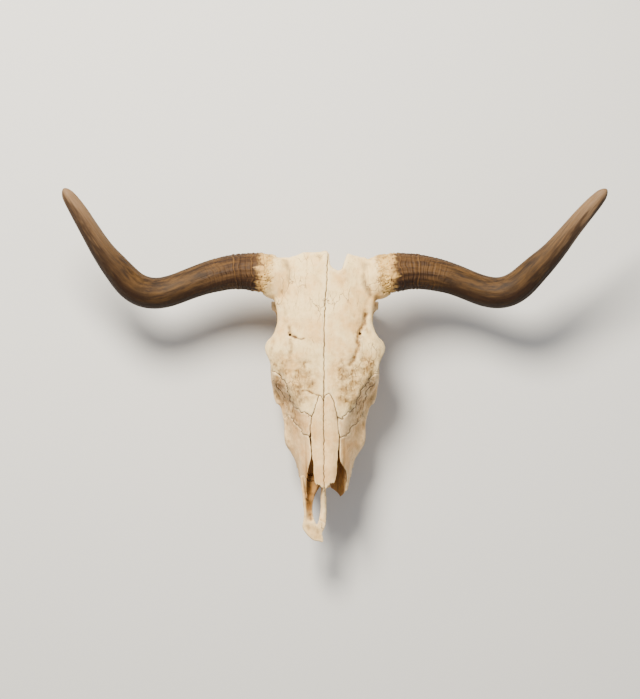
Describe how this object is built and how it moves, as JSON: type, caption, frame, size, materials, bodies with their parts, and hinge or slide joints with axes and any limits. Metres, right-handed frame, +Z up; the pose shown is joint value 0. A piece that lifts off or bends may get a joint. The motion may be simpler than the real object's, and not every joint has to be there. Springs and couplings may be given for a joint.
{
  "type": "cow skull with horns, without lower jaw",
  "caption": "Weathered cow skull with long curved horns, lying forehead up on its last cheek teeth and condyles, parted along its sutures.",
  "frame": {"origin": "the middle of the skull's bounding box, at the level that it rests on", "axes": "+Z up, away from the table and out of the forehead; -Y from the poll towards the nose; +X towards the animal's left horn"},
  "size_m": [0.9085, 0.5905, 0.2279],
  "materials": {
    "frontal_bone": "matte",
    "nasal_bone": "matte",
    "face_bone": "matte",
    "base_bone": "matte",
    "horn_keratin": "satin"
  },
  "bodies": {
    "root": {"frontal_left": "frontal_bone", "frontal_right": "frontal_bone", "horn_left": "horn_keratin", "horn_right": "horn_keratin", "lacrimal_left": "face_bone", "lacrimal_right": "face_bone", "maxilla_left": "face_bone", "maxilla_right": "face_bone", "nasal_left": "nasal_bone", "nasal_right": "nasal_bone", "occipital": "base_bone", "premaxilla_right": "nasal_bone", "sphenoid_palatine": "base_bone", "temporal_left": "base_bone", "temporal_right": "base_bone", "zygomatic_left": "face_bone", "zygomatic_right": "face_bone"}
  },
  "joints": []
}
